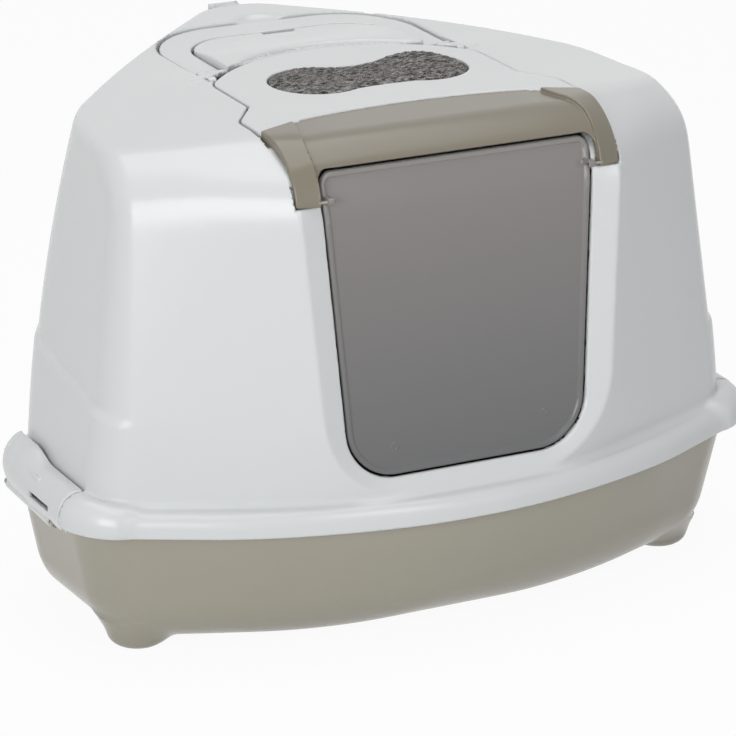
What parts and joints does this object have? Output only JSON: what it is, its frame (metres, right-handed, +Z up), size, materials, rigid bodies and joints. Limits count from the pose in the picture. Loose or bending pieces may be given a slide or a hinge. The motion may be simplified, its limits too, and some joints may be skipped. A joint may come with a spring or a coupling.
{
  "type": "corner litter box",
  "caption": "Covered corner litter box: tray with feet, clip-on hood with a swing flap doorway, a flip-up roof visor with a filter, and a folding carrying handle.",
  "frame": {"origin": "middle of the footprint, on the floor under the feet", "axes": "+Z up, -Y out of the doorway, +Y into the room corner, +X to the right as seen from in front of the doorway"},
  "size_m": [0.5576, 0.4708, 0.3765],
  "materials": {
    "white_plastic": "satin gloss, cool white",
    "taupe_plastic": "satin gloss, grey-brown",
    "smoked_plastic": "polished, smoky and see-through",
    "carbon_felt": "coarse mottled felt"
  },
  "bodies": {
    "tray": {"tray": "taupe_plastic", "clip_pin_left": "taupe_plastic", "clip_pin_right": "taupe_plastic"},
    "hood": {"hood": "white_plastic", "visor_pin_left": "white_plastic", "visor_pin_right": "white_plastic", "handle_pin_left": "white_plastic", "handle_pin_right": "white_plastic"},
    "visor": {"visor_top": "white_plastic", "visor_front": "taupe_plastic", "filter_pad": "carbon_felt", "filter_grid": "white_plastic", "flap_pin_left": "taupe_plastic", "flap_pin_right": "taupe_plastic"},
    "flap": {"flap": "smoked_plastic"},
    "handle": {"handle": "white_plastic"},
    "clip_left": {"clip_left": "white_plastic"},
    "clip_right": {"clip_right": "white_plastic"}
  },
  "joints": [
    {"name": "hood_lift", "type": "slide", "parent": "tray", "child": "hood", "axis": [0, 0, 1], "range_m": [0, 0.36]},
    {"name": "visor_flip", "type": "hinge", "parent": "hood", "child": "visor", "pos_m": [0, -0.00243, 0.3705], "axis": [-1, 0, 0], "range_deg": [0, 85]},
    {"name": "flap_swing", "type": "hinge", "parent": "visor", "child": "flap", "pos_m": [0, -0.20183, 0.337], "axis": [1, 0, 0], "range_deg": [-70, 70]},
    {"name": "handle_fold", "type": "hinge", "parent": "hood", "child": "handle", "pos_m": [0, 0.01857, 0.3705], "axis": [1, 0, 0], "range_deg": [0, 90]},
    {"name": "clip_left_turn", "type": "hinge", "parent": "tray", "child": "clip_left", "pos_m": [-0.271, -0.06143, 0.097], "axis": [0, -1, 0], "range_deg": [0, 100]},
    {"name": "clip_right_turn", "type": "hinge", "parent": "tray", "child": "clip_right", "pos_m": [0.271, -0.06143, 0.097], "axis": [0, 1, 0], "range_deg": [0, 100]}
  ]
}
